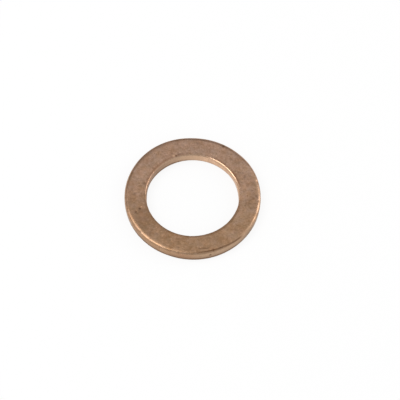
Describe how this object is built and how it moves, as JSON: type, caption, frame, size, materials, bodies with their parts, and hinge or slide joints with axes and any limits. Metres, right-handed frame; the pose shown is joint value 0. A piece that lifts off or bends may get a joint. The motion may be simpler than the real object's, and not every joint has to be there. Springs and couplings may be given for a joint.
{
  "type": "copper crush washer",
  "caption": "Flat soft copper ring with a rolled outer edge, crushed between a bolt head and a port face to seal the joint.",
  "frame": {"origin": "centre of the bore, on the underside that the ring lies on", "axes": "+Z along the bore's axis, from the underside up to the face with the rolled outer edge; the ring is the same all round, so +X and +Y are any two directions square to it"},
  "size_m": [0.0178, 0.0178, 0.0015],
  "materials": {
    "copper": "satin"
  },
  "bodies": {
    "root": {"copper_washer": "copper"}
  },
  "joints": []
}
